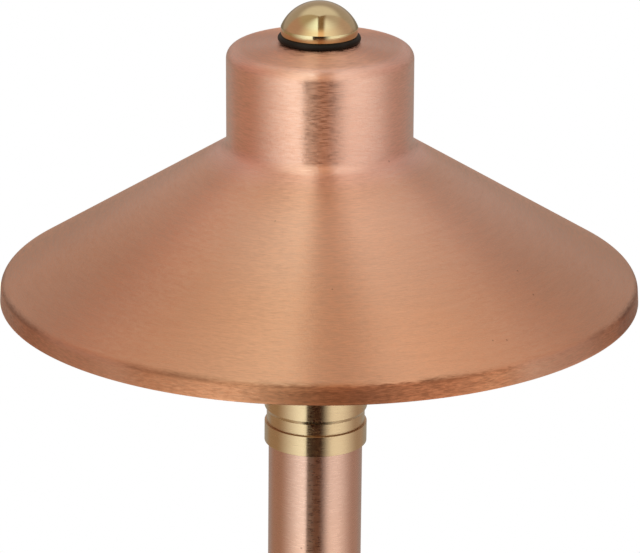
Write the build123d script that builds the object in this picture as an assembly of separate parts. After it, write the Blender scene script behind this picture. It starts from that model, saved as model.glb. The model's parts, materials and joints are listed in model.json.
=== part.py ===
from build123d import *
import os
from math import asin, atan2, cos, degrees, hypot, pi, radians, sin, tan

# A path light: a spun copper hat on a brass lamp housing, on a copper stem and a ground stake.
# Millimetres, +Z up, front at -Y. The origin is on the lamp's axis at ground level,
# which is the underside of the stake's flange.

# Copper hat, one spun sheet of even thickness
rim_radius = 88.9
sheet = 1.2
band_height = 5.15
band_draft = 3.5
rim_bend = 3.0
cone_angle = 31.7
crown_radius = 25.8
crown_bend = 4.0
hat_height = 73.0
shoulder_bend = 3.1
top_slope = 8.0
top_blend = 60.0
top_flat_radius = 12.0
hat_hole_radius = 3.6

# Knob, O-ring and stud
knob_radius = 10.6
knob_foot_radius = 10.25
knob_band = 2.2
dome_rise = 7.05
knob_edge = 0.15
knob_spigot_radius = 9.3
spigot_overlap = 0.75
ring_radius = 10.45
ring_section = 1.95
stud_radius = 3.175
stud_length = 20.0
stud_seat = 10.0
stud_chamfer = 0.6
tip_room = 0.5

# Lens cap, washer, posts and their screws
cap_radius = 22.0
cap_thickness = 5.0
cap_chamfer = 1.0
boss_radius = 8.0
boss_height = 9.8
washer_radius = 7.6
washer_thickness = 1.0
post_count = 3
post_first_angle = 90.0
post_circle = 18.6
post_radius = 2.25
post_length = 50.0
post_stub = 3.5
post_tap_depth = 8.0
m3_radius = 1.5
cap_screw_head_radius = 2.6
cap_screw_head_height = 2.0
cap_screw_tip = 6.0
cap_hole_room = 0.2

# Glass lens and its gaskets
lens_radius = 15.0
lens_wall = 2.0
lens_recess = 2.0
lens_edge = 0.4
gasket_thickness = 1.0
gasket_room = 0.2
recess_room = 0.4

# Lamp housing, turned from brass bar
wall_radius = 14.45
wall_length = 34.9
neck_radius = 13.84
neck_height = 3.4
flare_height = 1.1
flange_radius = 21.5
flange_thickness = 4.0
flange_cone = 3.0
flange_chamfer = 0.6
housing_bore = 12.2
cavity_bore = 8.2
floor_thickness = 8.0
spigot_radius = 9.45
spigot_length = 12.0
lead_bore = 4.0
ledge_depth = 16.2

# Socket, its plate and fasteners
plate_thickness = 1.2
plate_room = 0.2
plate_hole = 3.4
plate_screw_circle = 10.0
m2_radius = 1.0
m2_head_radius = 1.75
m2_head_height = 1.2
plate_screw_length = 5.0
socket_length = 16.0
socket_width = 9.0
socket_height = 11.0
socket_edge = 0.6
socket_screw_offset = 5.6
counterbore_depth = 1.5
head_room = 0.2
m2_nut_flats = 4.0
m2_nut_height = 1.6
pin_pitch = 4.0
pin_radius = 0.35
pin_length = 7.5
contact_radius = 0.8

# Bi-pin lamp
lamp_rest_gap = 0.1
lamp_base_radius = 6.0
lamp_base_height = 6.0
lamp_spigot = 1.5
cover_height = 27.0
cover_wall = 0.6
cover_top = 0.8
core_flats = 6.0
core_height = 23.0
core_sides = 6
chip_rows = 3
chip_width = 2.8
chip_height = 3.5
chip_thickness = 0.7
chip_pitch = 6.5

# Stem, collar and base
stem_radius = 13.24
stem_wall = 1.2
stem_length = 457.2
collar_radius = 14.44
collar_height = 5.9
collar_skirt = 3.9
sleeve_length = 14.0
base_thread_radius = 10.6
base_thread_length = 16.0
base_bore = 7.5

# Leads, splices and grommet
lead_radius = 0.9
grommet_flange_radius = 6.0
grommet_flange = 1.2
grommet_length = 6.0
splice_radius = 2.2
splice_length = 20.0
splice_top = -16.0
splice_insert = 7.0
splice_x = 3.4
splice_y = -2.5
lead_turn_z = 2.0
lead_turn_drop = 14.0
bend_share = 0.45

# Ground stake
hub_radius = 16.0
hub_rise = 10.0
hub_depth = 48.0
hub_taper = 18.0
hub_tip_radius = 5.0
hub_chamfer = 1.5
thread_depth = 18.0
cavity_radius = 9.5
cavity_floor = 3.0
stake_flange_radius = 32.0
stake_flange = 4.0
stake_flange_edge = 1.0
fin_count = 4
fin_first_angle = 45.0
fin_thickness = 4.5
fin_top_radius = 27.0
fin_waist_radius = 23.0
fin_waist_depth = 70.0
fin_end_radius = 6.0
fin_end_depth = 232.0
stake_depth = 250.0
slot_width = 7.0
slot_top = 14.0
slot_height = 26.0

# Clearances: a turning or sliding fit, and a brazed or cemented joint
slip = 0.05
braze = 0.04
ring_room = 0.02
spigot_room = 0.1

# Heights from the ground up
tube_bottom = hub_rise + collar_height - collar_skirt
tube_top = tube_bottom + stem_length
collar_bottom = tube_top - collar_skirt
collar_top = collar_bottom + collar_height
spigot_bottom = collar_top - spigot_length
housing_floor = collar_top + floor_thickness
neck_top = collar_top + neck_height
wall_bottom = neck_top + flare_height
flange_bottom = wall_bottom + wall_length
flange_top = flange_bottom + flange_thickness
lens_seat = flange_top - lens_recess
lens_bottom = lens_seat + gasket_thickness
cap_bottom = flange_top + post_length
cap_recess_top = cap_bottom + lens_recess
lens_top = cap_recess_top - gasket_thickness
cap_top = cap_bottom + cap_thickness
boss_top = cap_top + boss_height
washer_top = boss_top + washer_thickness
hat_top = washer_top + sheet
rim_bottom = hat_top - hat_height
knob_base = hat_top + ring_section
stud_bottom = boss_top - stud_seat
stud_top = stud_bottom + stud_length
ledge = flange_top - ledge_depth
plate_top = ledge + plate_thickness
socket_top = plate_top + socket_height
lamp_bottom = socket_top + lamp_rest_gap
lamp_base_top = lamp_bottom + lamp_base_height
cavity_bottom = cavity_floor - hub_depth

# Sizes that follow from what a piece fits
bore_radius = stem_radius - stem_wall
sleeve_radius = bore_radius - braze
recess_radius = lens_radius + recess_room
cover_radius = lamp_base_radius
post_angles = [post_first_angle + 360 / post_count * i for i in range(post_count)]


def on_circle(radius, angle):
    """The x and y of a point at an angle on a circle round the lamp's axis."""
    return radius * cos(radians(angle)), radius * sin(radians(angle))


def rod(radius, low, high, x=0.0, y=0.0):
    """A round bar between two heights."""
    return Pos(x, y, low) * Cylinder(radius, high - low, align=(Align.CENTER, Align.CENTER, Align.MIN))


def ring(outer, inner, low, high, x=0.0, y=0.0):
    """A flat ring or tube between two heights."""
    return rod(outer, low, high, x, y) - rod(inner, low, high, x, y)


def block(size_x, size_y, low, high, x=0.0, y=0.0):
    """A box between two heights."""
    return Pos(x, y, low) * Box(size_x, size_y, high - low, align=(Align.CENTER, Align.CENTER, Align.MIN))


def turned(points):
    """A solid of revolution from its half section, as radius and height."""
    return revolve(Plane.XZ * make_face(Polyline(*points, close=True)), Axis.Z)


def group(solids):
    """Several separate solids that share one node."""
    return Compound(children=list(solids))


def sheet_outline(points, bends, thickness):
    """The closed outline of a bent sheet whose outer side follows points, with a bend at each corner."""
    corners = [Vector(*point) for point in points]
    ways = [(end - start).normalized() for start, end in zip(corners, corners[1:])]
    sides = [Vector(-way.Y, way.X) for way in ways]
    inner = [corners[0] + sides[0] * thickness]
    inner_bends = []
    for i, bend in enumerate(bends):
        before, after = sides[i], sides[i + 1]
        inner.append(corners[i + 1] + (before + after) * (thickness / (1 + before.dot(after))))
        turns_in = ways[i].cross(ways[i + 1]).Z > 0
        inner_bends.append(bend - thickness if turns_in else bend + thickness)
    inner.append(corners[-1] + sides[-1] * thickness)
    outside = FilletPolyline(*corners, radius=bends)
    inside = FilletPolyline(*inner, radius=inner_bends)
    return outside + inside + Line(outside @ 0, inside @ 0) + Line(outside @ 1, inside @ 1)


def make_hat():
    """Rim band, cone, crown wall and a shallow top with a flat for the knob."""
    band_in = band_height * tan(radians(band_draft))
    cone_top = band_height + (rim_radius - band_in - crown_radius) * tan(radians(cone_angle))
    top_drop = (crown_radius - top_flat_radius) * tan(radians(top_slope))
    points = [
        (rim_radius, 0),
        (rim_radius - band_in, band_height),
        (crown_radius, cone_top),
        (crown_radius, hat_height - top_drop),
        (top_flat_radius, hat_height),
        (hat_hole_radius, hat_height),
    ]
    bends = [rim_bend, crown_bend, shoulder_bend, top_blend]
    outline = Pos(0, rim_bottom, 0) * sheet_outline(points, bends, sheet)
    return revolve(Plane.XZ * make_face(outline), Axis.Z)


def make_knob():
    """A dome on a slightly undercut band, with a blind bore and a short spigot inside the O-ring."""
    dome_foot = knob_base + knob_band
    dome_radius = (knob_radius ** 2 + dome_rise ** 2) / (2 * dome_rise)
    dome_centre = dome_foot + dome_rise - dome_radius
    dome_start = degrees(asin((dome_foot - dome_centre) / dome_radius))
    dome = CenterArc((0, dome_centre), dome_radius, dome_start, 90 - dome_start)
    band_line = Line(dome @ 0, (knob_foot_radius, knob_base))
    base_line = Line((knob_foot_radius, knob_base), (0, knob_base))
    axis_line = Line((0, knob_base), dome @ 1)
    knob = revolve(Plane.XZ * make_face(dome + band_line + base_line + axis_line), Axis.Z)
    knob = fillet(knob.edges().filter_by(lambda edge: edge.is_closed), knob_edge)
    knob += rod(knob_spigot_radius, hat_top + spigot_room, knob_base + spigot_overlap)
    bore_top = stud_top + tip_room
    return knob - rod(stud_radius + slip, hat_top, bore_top)


def make_knob_o_ring():
    """The rubber ring between the knob and the crown."""
    section = ring_section / 2
    return Pos(0, 0, hat_top + section) * Torus(ring_radius, section - ring_room)


def make_hat_stud():
    """The threaded stud, drawn at its outside diameter."""
    stud = rod(stud_radius, stud_bottom, stud_top)
    return chamfer(stud.edges(), stud_chamfer)


def make_hat_washer():
    """The washer between the lens cap's boss and the hat."""
    return ring(washer_radius, hat_hole_radius, boss_top, washer_top)


def make_lens_cap():
    """A disc with a recess for the glass below and a boss for the hat above."""
    cap = turned([
        (0, cap_recess_top),
        (recess_radius, cap_recess_top),
        (recess_radius, cap_bottom),
        (cap_radius, cap_bottom),
        (cap_radius, cap_top - cap_chamfer),
        (cap_radius - cap_chamfer, cap_top),
        (boss_radius, cap_top),
        (boss_radius, boss_top),
        (0, boss_top),
    ])
    cap -= rod(stud_radius + braze, stud_bottom, boss_top)
    for angle in post_angles:
        x, y = on_circle(post_circle, angle)
        cap -= rod(m3_radius + cap_hole_room, cap_bottom, cap_top, x, y)
    return cap


def screw(radius, head_radius, head_height, seat, tip, x, y):
    """A round-headed screw whose head sits at a height and whose point is lower down."""
    head = rod(head_radius, seat, seat + head_height, x, y)
    head = fillet(head.edges().sort_by(Axis.Z)[-1], head_height / 2)
    return head + rod(radius, tip, seat, x, y)


def make_cap_screws():
    """One screw for each post, through the lens cap."""
    for angle in post_angles:
        x, y = on_circle(post_circle, angle)
        tip = cap_bottom - cap_screw_tip
        yield screw(m3_radius, cap_screw_head_radius, cap_screw_head_height, cap_top, tip, x, y)


def make_lens_posts():
    """Posts from the housing's flange to the lens cap, tapped at the top."""
    for angle in post_angles:
        x, y = on_circle(post_circle, angle)
        post = rod(post_radius, flange_top, cap_bottom, x, y)
        post += rod(m3_radius, flange_top - post_stub, flange_top, x, y)
        yield post - rod(m3_radius + slip, cap_bottom - post_tap_depth, cap_bottom, x, y)


def make_lens():
    """The glass tube, with its end edges eased."""
    lens = ring(lens_radius, lens_radius - lens_wall, lens_bottom, lens_top)
    return chamfer(lens.edges().filter_by(GeomType.CIRCLE), lens_edge)


def make_gasket(low):
    """A flat silicone ring under or over the glass."""
    outer = lens_radius + gasket_room
    inner = lens_radius - lens_wall - gasket_room
    return ring(outer, inner, low, low + gasket_thickness)


def make_lamp_housing():
    """Spigot, neck, flare, wall and flange outside; lens recess, bore, ledge and lead bore inside."""
    housing = turned([
        (lead_bore, spigot_bottom),
        (spigot_radius, spigot_bottom),
        (spigot_radius, collar_top),
        (neck_radius, collar_top),
        (neck_radius, neck_top),
        (wall_radius, wall_bottom),
        (wall_radius, flange_bottom - flange_cone),
        (wall_radius + flange_cone, flange_bottom),
        (flange_radius - flange_chamfer, flange_bottom),
        (flange_radius, flange_bottom + flange_chamfer),
        (flange_radius, flange_top - flange_chamfer),
        (flange_radius - flange_chamfer, flange_top),
        (recess_radius, flange_top),
        (recess_radius, lens_seat),
        (housing_bore, lens_seat),
        (housing_bore, ledge),
        (cavity_bore, ledge),
        (cavity_bore, housing_floor),
        (lead_bore, housing_floor),
    ])
    for angle in post_angles:
        x, y = on_circle(post_circle, angle)
        housing -= rod(m3_radius + braze, flange_top - post_stub, flange_top, x, y)
    tap_bottom = plate_top - plate_screw_length
    for side in (-1, 1):
        housing -= rod(m2_radius + braze, tap_bottom, ledge, 0, side * plate_screw_circle)
    return housing


def make_socket_plate():
    """A disc on the housing's ledge that carries the socket."""
    plate = rod(housing_bore - plate_room, ledge, plate_top) - rod(plate_hole, ledge, plate_top)
    for side in (-1, 1):
        plate -= rod(m2_radius + slip, ledge, plate_top, 0, side * plate_screw_circle)
        plate -= rod(m2_radius + slip, ledge, plate_top, side * socket_screw_offset, 0)
    return plate


def make_plate_screws():
    """Two screws, plate to ledge."""
    tip = plate_top - plate_screw_length
    for side in (-1, 1):
        y = side * plate_screw_circle
        yield screw(m2_radius, m2_head_radius, m2_head_height, plate_top, tip, 0, y)


def make_lamp_socket():
    """A ceramic block with two contact holes and two counterbored screw holes."""
    socket = block(socket_length, socket_width, plate_top, socket_top)
    socket = chamfer(socket.edges().filter_by(Axis.Z), socket_edge)
    for side in (-1, 1):
        socket -= rod(contact_radius + braze, plate_top, socket_top, side * pin_pitch / 2)
        x = side * socket_screw_offset
        socket -= rod(m2_radius + slip, plate_top, socket_top, x)
        socket -= rod(m2_head_radius + head_room, socket_top - counterbore_depth, socket_top, x)
    return socket


def make_socket_contacts():
    """Two spring sleeves that grip the lamp's pins."""
    for side in (-1, 1):
        yield ring(contact_radius, pin_radius + slip, plate_top, socket_top, side * pin_pitch / 2)


def make_socket_screws():
    """Two screws down through the socket and its plate."""
    seat = socket_top - counterbore_depth
    for side in (-1, 1):
        tip = ledge - m2_nut_height
        yield screw(m2_radius, m2_head_radius, m2_head_height, seat, tip, side * socket_screw_offset, 0)


def make_socket_nuts():
    """Two hexagon nuts under the plate."""
    for side in (-1, 1):
        x = side * socket_screw_offset
        outline = RegularPolygon(m2_nut_flats / 2, 6, major_radius=False)
        nut = Pos(x, 0, ledge - m2_nut_height) * extrude(outline, m2_nut_height)
        yield nut - rod(m2_radius + braze, ledge - m2_nut_height, ledge, x)


def make_lamp_base():
    """The lamp's moulded base, with a spigot for its cover."""
    base = rod(lamp_base_radius, lamp_bottom, lamp_base_top)
    base += rod(cover_radius - cover_wall - braze, lamp_base_top, lamp_base_top + lamp_spigot)
    for side in (-1, 1):
        x = side * pin_pitch / 2
        base -= rod(pin_radius + braze, lamp_bottom, lamp_base_top, x)
    return base


def make_lamp_pins():
    """Two pins, from inside the base down into the contacts."""
    for side in (-1, 1):
        yield rod(pin_radius, lamp_bottom - pin_length, lamp_base_top, side * pin_pitch / 2)


def make_lamp_core():
    """The six-sided board that carries the light chips."""
    low = lamp_base_top + lamp_spigot
    outline = RegularPolygon(core_flats / 2, core_sides, major_radius=False)
    return Pos(0, 0, low) * extrude(outline, core_height)


def make_led_chips():
    """Rows of light chips, one column on each side of the core."""
    low = lamp_base_top + lamp_spigot
    first = low + core_height / 2 - chip_pitch * (chip_rows - 1) / 2
    side_angle = 360 / core_sides
    chip = Pos(core_flats / 2 + chip_thickness / 2, 0, 0) * Box(chip_thickness, chip_width, chip_height)
    for side in range(core_sides):
        for row in range(chip_rows):
            yield Rot(0, 0, side_angle * (side + 0.5)) * Pos(0, 0, first + chip_pitch * row) * chip


def make_lamp_cover():
    """The clear cap over the lamp's chips."""
    high = lamp_base_top + cover_height
    cover = rod(cover_radius, lamp_base_top, high)
    cover = fillet(cover.edges().sort_by(Axis.Z)[-1], cover_wall)
    return cover - rod(cover_radius - cover_wall, lamp_base_top, high - cover_top)


def make_stem():
    """The copper tube."""
    return ring(stem_radius, bore_radius, tube_bottom, tube_top)


def make_stem_collar():
    """A ring over the tube's end, with a sleeve inside the tube that the housing screws into."""
    return turned([
        (spigot_radius + slip, collar_bottom + collar_skirt - sleeve_length),
        (sleeve_radius, collar_bottom + collar_skirt - sleeve_length),
        (sleeve_radius, tube_top),
        (stem_radius + braze, tube_top),
        (stem_radius + braze, collar_bottom),
        (collar_radius, collar_bottom),
        (collar_radius, collar_top),
        (spigot_radius + slip, collar_top),
    ])


def make_stem_base():
    """The same ring turned over, with a male thread below it, drawn at its outside diameter."""
    return turned([
        (base_bore, hub_rise - base_thread_length),
        (base_thread_radius, hub_rise - base_thread_length),
        (base_thread_radius, hub_rise),
        (collar_radius, hub_rise),
        (collar_radius, tube_bottom + collar_skirt),
        (stem_radius + braze, tube_bottom + collar_skirt),
        (stem_radius + braze, tube_bottom),
        (sleeve_radius, tube_bottom),
        (sleeve_radius, tube_bottom + sleeve_length),
        (base_bore, tube_bottom + sleeve_length),
    ])


def make_lead_grommet():
    """A rubber bush in the housing's lead bore, with a hole for each lead."""
    low = housing_floor - grommet_length
    grommet = rod(lead_bore - braze, low, housing_floor)
    grommet += rod(grommet_flange_radius, housing_floor, housing_floor + grommet_flange)
    for side in (-1, 1):
        grommet -= rod(lead_radius + braze, low, housing_floor + grommet_flange, side * pin_pitch / 2)
    return grommet


def make_socket_leads():
    """One lead on each side: straight down the stem, then a slight bend into its splice."""
    for side in (-1, 1):
        x = side * pin_pitch / 2
        low_x = side * splice_x
        bend_end = lead_turn_z - lead_turn_drop
        route = [
            (x, 0, plate_top),
            (x, 0, lead_turn_z),
            (low_x, splice_y, bend_end),
            (low_x, splice_y, splice_top - splice_insert),
        ]
        turn = atan2(hypot(low_x - x, splice_y), lead_turn_drop)
        shorter = bend_end - (splice_top - splice_insert)
        bend = bend_share * shorter / tan(turn / 2)
        path = FilletPolyline(*route, radius=bend)
        lead = sweep(Plane(origin=path @ 0, z_dir=path % 0) * Circle(lead_radius), path=path)
        length = path.length
        print("lead bend radius", round(bend, 1), "length", round(length, 1),
              "volume share", round(lead.volume / (pi * lead_radius ** 2 * length), 4))
        yield lead


def make_lead_splices():
    """Crimp connectors, open below for the supply cord."""
    for side in (-1, 1):
        yield ring(splice_radius, lead_radius + braze, splice_top - splice_length, splice_top,
                   side * splice_x, splice_y)


def make_ground_stake():
    """Threaded hub, flange and four tapering fins, with a slot for the supply cord."""
    hub = turned([
        (0, -hub_depth - hub_taper),
        (hub_tip_radius, -hub_depth - hub_taper),
        (hub_radius, -hub_depth),
        (hub_radius, hub_rise - hub_chamfer),
        (hub_radius - hub_chamfer, hub_rise),
        (0, hub_rise),
    ])
    plate = rod(stake_flange_radius, 0, stake_flange)
    plate = chamfer(plate.edges().sort_by(Axis.Z)[-1], stake_flange_edge)
    fin_outline = Plane.XZ * make_face(Polyline(
        (0, 0),
        (fin_top_radius, 0),
        (fin_waist_radius, -fin_waist_depth),
        (fin_end_radius, -fin_end_depth),
        (0, -stake_depth),
        close=True,
    ))
    fin = extrude(fin_outline, fin_thickness / 2, both=True)
    stake = hub + plate
    for i in range(fin_count):
        stake += Rot(0, 0, fin_first_angle + 360 / fin_count * i) * fin
    stake -= rod(base_thread_radius + slip, hub_rise - thread_depth, hub_rise)
    stake -= rod(cavity_radius, cavity_bottom, hub_rise - thread_depth)
    slot_reach = hub_radius + slot_width
    stake -= block(slot_width, slot_reach, -slot_top - slot_height, -slot_top, 0, slot_reach / 2)
    return stake


nodes = {
    "knob": make_knob(),
    "knob_o_ring": make_knob_o_ring(),
    "hat": make_hat(),
    "hat_washer": make_hat_washer(),
    "hat_stud": make_hat_stud(),
    "lens_cap": make_lens_cap(),
    "cap_screws": group(make_cap_screws()),
    "lens_posts": group(make_lens_posts()),
    "lens_top_gasket": make_gasket(lens_top),
    "lens": make_lens(),
    "lens_bottom_gasket": make_gasket(lens_seat),
    "lamp_housing": make_lamp_housing(),
    "socket_plate": make_socket_plate(),
    "plate_screws": group(make_plate_screws()),
    "lamp_socket": make_lamp_socket(),
    "socket_contacts": group(make_socket_contacts()),
    "socket_screws": group(make_socket_screws()),
    "socket_nuts": group(make_socket_nuts()),
    "lamp_base": make_lamp_base(),
    "lamp_pins": group(make_lamp_pins()),
    "lamp_core": make_lamp_core(),
    "led_chips": group(make_led_chips()),
    "lamp_cover": make_lamp_cover(),
    "lead_grommet": make_lead_grommet(),
    "socket_leads": group(make_socket_leads()),
    "lead_splices": group(make_lead_splices()),
    "stem_collar": make_stem_collar(),
    "stem": make_stem(),
    "stem_base": make_stem_base(),
    "ground_stake": make_ground_stake(),
}

os.makedirs("parts", exist_ok=True)
for name, shape in nodes.items():
    shape.label = name
    export_step(shape, f"parts/{name}.step")
print("rim height", round(rim_bottom, 2), "crown top", round(hat_top, 2), "stud top", round(stud_top, 2))
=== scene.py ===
import json
from math import asin, atan2, ceil, cos, pi, radians, sin, tan

import bmesh
import bpy
from mathutils import Matrix, Vector


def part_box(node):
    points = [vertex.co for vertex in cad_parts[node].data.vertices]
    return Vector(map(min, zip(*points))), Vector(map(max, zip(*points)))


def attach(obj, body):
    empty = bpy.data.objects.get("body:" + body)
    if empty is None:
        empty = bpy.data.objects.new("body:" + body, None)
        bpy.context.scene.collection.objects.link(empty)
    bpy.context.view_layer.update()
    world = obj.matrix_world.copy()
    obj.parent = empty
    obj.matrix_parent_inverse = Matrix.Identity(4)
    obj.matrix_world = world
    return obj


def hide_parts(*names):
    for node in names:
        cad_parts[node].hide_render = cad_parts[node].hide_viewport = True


# A path light: spun copper hat, brass knob and housing, copper stem and ground stake.
# Metres, +Z up, front at -Y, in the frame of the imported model.

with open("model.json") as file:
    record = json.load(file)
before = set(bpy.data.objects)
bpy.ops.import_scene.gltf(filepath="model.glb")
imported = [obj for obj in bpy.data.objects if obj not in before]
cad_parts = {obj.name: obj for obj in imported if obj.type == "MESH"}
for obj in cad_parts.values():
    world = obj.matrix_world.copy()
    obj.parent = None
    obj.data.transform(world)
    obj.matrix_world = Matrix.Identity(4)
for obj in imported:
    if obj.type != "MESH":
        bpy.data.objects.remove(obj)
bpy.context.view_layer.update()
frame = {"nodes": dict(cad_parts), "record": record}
scene = bpy.context.scene
cad = frame["nodes"]
body_of = {node: body for body, nodes in frame["record"]["behaviour"]["bodies"].items() for node in nodes}
mm = 0.001

# Sizes of the turned pieces that the frame's boxes don't give
sheet = 1.2 * mm
band_height = 5.15 * mm
band_draft = radians(3.5)
rim_bend = 3.0 * mm
cone_angle = radians(31.7)
crown_radius = 25.8 * mm
crown_bend = 4.0 * mm
hat_height = 73.0 * mm
shoulder_bend = 3.1 * mm
top_slope = radians(8.0)
top_blend = 60.0 * mm
top_flat_radius = 12.0 * mm
hat_hole_radius = 3.6 * mm
hat_lean = 0.0055
hat_shift = 0.25 * mm
knob_radius = 10.6 * mm
knob_foot_radius = 10.5 * mm
knob_band = 2.2 * mm
dome_rise = 7.05 * mm
knob_edge = 0.15 * mm
knob_spigot_radius = 9.3 * mm
stud_bore = 3.225 * mm
tip_room = 0.5 * mm
stud_pitch = 1.27 * mm
thread_depth = 0.6  # of the pitch
cap_radius = 22.0 * mm
cap_thickness = 5.0 * mm
cap_chamfer = 1.0 * mm
boss_radius = 8.0 * mm
m3_radius = 1.5 * mm
m3_head_radius = 2.6 * mm
m3_pitch = 0.5 * mm
m2_radius = 1.0 * mm
m2_head_radius = 1.75 * mm
m2_pitch = 0.4 * mm
post_radius = 2.25 * mm
post_circle = 18.6 * mm
post_angles = [radians(90 + 120 * i) for i in range(3)]
lens_wall = 2.0 * mm
flange_radius = 21.5 * mm
flange_chamfer = 0.6 * mm
flange_cone = 3.0 * mm
wall_radius = 14.45 * mm
wall_length = 34.9 * mm
neck_radius = 13.84 * mm
neck_height = 3.4 * mm
flare_height = 1.1 * mm
housing_bore = 12.2 * mm
cavity_bore = 8.2 * mm
floor_thickness = 8.0 * mm
spigot_radius = 9.45 * mm
spigot_length = 12.0 * mm
lead_bore = 4.0 * mm
ledge_depth = 16.2 * mm
lens_recess = 2.0 * mm
recess_radius = 15.4 * mm
collar_height = 5.9 * mm
collar_skirt = 3.9 * mm
sleeve_length = 14.0 * mm
stem_wall = 1.2 * mm
base_thread_radius = 10.6 * mm
base_thread_pitch = 1.8 * mm
base_thread_depth = 1.0 * mm
base_relief = 0.5 * mm
base_bore = 7.5 * mm
plate_hole = 3.4 * mm
plate_screw_circle = 10.0 * mm
socket_screw_offset = 5.6 * mm
pin_pitch = 4.0 * mm
pin_radius = 0.35 * mm
contact_radius = 0.8 * mm
contact_mouth = 0.6 * mm
lamp_spigot = 1.5 * mm
groove_low = 1.6 * mm
groove_high = 0.7 * mm
groove_slope = 0.2 * mm
groove_depth = 0.25 * mm
cover_wall = 0.6 * mm
cover_top = 0.8 * mm
core_sides = 6
core_chamfer = 0.1 * mm
chip_width = 2.8 * mm
chip_height = 3.5 * mm
chip_thickness = 0.7 * mm
chip_pitch = 6.5 * mm
chip_rim = 0.3 * mm
chip_end_rim = 0.4 * mm
chip_sink = 0.02 * mm
solder_width = 1.6 * mm
solder_height = 0.7 * mm
solder_offset = 0.25 * mm
crimp_half = 1.8 * mm
crimp_flat_half = 0.8 * mm
crimp_squeeze = 0.8
splice_x = 3.4 * mm
splice_y = -2.5 * mm
lead_radius = 0.9 * mm
slip = 0.05 * mm
braze = 0.04 * mm

# Radii that ease the edges
raw_edge = 0.3 * mm
washer_edge = 0.25 * mm
cap_edge = 0.15 * mm
post_edge = 0.2 * mm
lens_edge = 0.4 * mm
gasket_edge = 0.3 * mm
housing_edge = 0.06 * mm
turned_edge = 0.12 * mm
stem_edge = 0.2 * mm
plate_edge = 0.15 * mm
contact_edge = 0.05 * mm
socket_edge = 0.25 * mm
nut_edge = 0.15 * mm
pin_edge = 0.3 * mm
cover_edge = 0.1 * mm
cover_outer_bend = 1.8 * mm
cover_inner_bend = 1.2 * mm
grommet_edge = 0.3 * mm
splice_edge = 0.3 * mm
splice_bore_edge = 0.1 * mm
crimp_bend = 0.6 * mm
stake_edge = 0.5 * mm

# The hat's rim band, as heights over the rim and angles in degrees round it, with 0 at the front
band_fade = (6.3 * mm, 5.2 * mm)
# Heights of the painted shade line along the crease where the band meets the cone
crease_shade_span = (4.7 * mm, 5.4 * mm, 5.8 * mm, 6.8 * mm)
# Heights of the painted highlight on the band's lower edge
edge_highlight_span = (1.6 * mm, 0.8 * mm)
ragged_by = 1.2 * mm
rubbed_spans = ((-62, -48, -38, -28), (33, 41, 50, 63))
stained_spans = ((-8, 14, 23, 33), (61, 68, 90, 110))

hat_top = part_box("hat")[1].z
rim_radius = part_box("hat")[1].x
rim_bottom = hat_top - hat_height
tube_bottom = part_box("stem")[0].z
tube_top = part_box("stem")[1].z
stem_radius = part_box("stem")[1].x
collar_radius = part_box("stem_collar")[1].x
collar_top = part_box("stem_collar")[1].z


# Mesh helpers

def bend_line(corners, radii, steps=8, closed=False):
    """A line of radius and height points, with an arc of the given radius at each corner that has one."""
    points = [Vector(corner) for corner in corners]
    line = []
    for i, here in enumerate(points):
        ends = not closed and i in (0, len(points) - 1)
        if ends or radii[i] <= 0:
            line.append(here)
            continue
        way_in = here - points[i - 1]
        way_out = points[(i + 1) % len(points)] - here
        turn = atan2(way_in.cross(way_out), way_in.dot(way_out))
        slope = tan(abs(turn) / 2)
        if slope < 1e-4:
            line.append(here)
            continue
        reach = min(radii[i] * slope, way_in.length / 2.01, way_out.length / 2.01)
        bend = reach / slope
        start = here - way_in.normalized() * reach
        left = Vector((-way_in.y, way_in.x)).normalized()
        centre = start + left * (bend if turn > 0 else -bend)
        spoke = start - centre
        for k in range(steps + 1):
            a = turn * k / steps
            swung = Vector((spoke.x * cos(a) - spoke.y * sin(a), spoke.x * sin(a) + spoke.y * cos(a)))
            line.append(centre + swung)
    return line


def eased(corners, ease, steps=3):
    """A closed half section with every corner eased."""
    radii = [0 if corner[0] < 1e-7 else ease for corner in corners]
    return bend_line(corners, radii, steps, closed=True)


def offset_corners(corners, distance):
    """The corners of a line that runs beside another, to the left of its way."""
    points = [Vector(corner) for corner in corners]
    ways = [(end - start).normalized() for start, end in zip(points, points[1:])]
    sides = [Vector((-way.y, way.x)) for way in ways]
    moved = [points[0] + sides[0] * distance]
    for point, before, after in zip(points[1:], sides, sides[1:]):
        moved.append(point + (before + after) * (distance / (1 + before.dot(after))))
    moved.append(points[-1] + sides[-1] * distance)
    return moved


def circle(radius, height, segments, x=0.0, y=0.0):
    """A level ring of points. The radius may be a function of the angle, and no radius gives one point."""
    if not callable(radius) and radius < 1e-7:
        return [(x, y, height)]
    points = []
    for i in range(segments):
        a = 2 * pi * i / segments
        r = radius(a) if callable(radius) else radius
        points.append((x + r * cos(a), y + r * sin(a), height))
    return points


def skin(rings, loop=False):
    """Points and faces of a tube through rings of points."""
    vertices = [point for ring in rings for point in ring]
    starts = [sum(len(ring) for ring in rings[:i]) for i in range(len(rings))]
    faces = []
    for k in range(len(rings) if loop else len(rings) - 1):
        n = (k + 1) % len(rings)
        low, high = len(rings[k]), len(rings[n])
        count = max(low, high)
        for i in range(count):
            j = (i + 1) % count
            quad = [starts[k] + i % low, starts[k] + j % low, starts[n] + j % high, starts[n] + i % high]
            quad = [c for m, c in enumerate(quad) if c not in quad[:m]]
            if len(quad) > 2:
                faces.append(quad)
    return vertices, faces


def turned(outline, segments, x=0.0, y=0.0):
    """The skin of a closed half section turned round an upright line."""
    on_axis = outline[0][0] < 1e-7 and outline[-1][0] < 1e-7
    return skin([circle(r, z, segments, x, y) for r, z in outline], loop=not on_axis)


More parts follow.
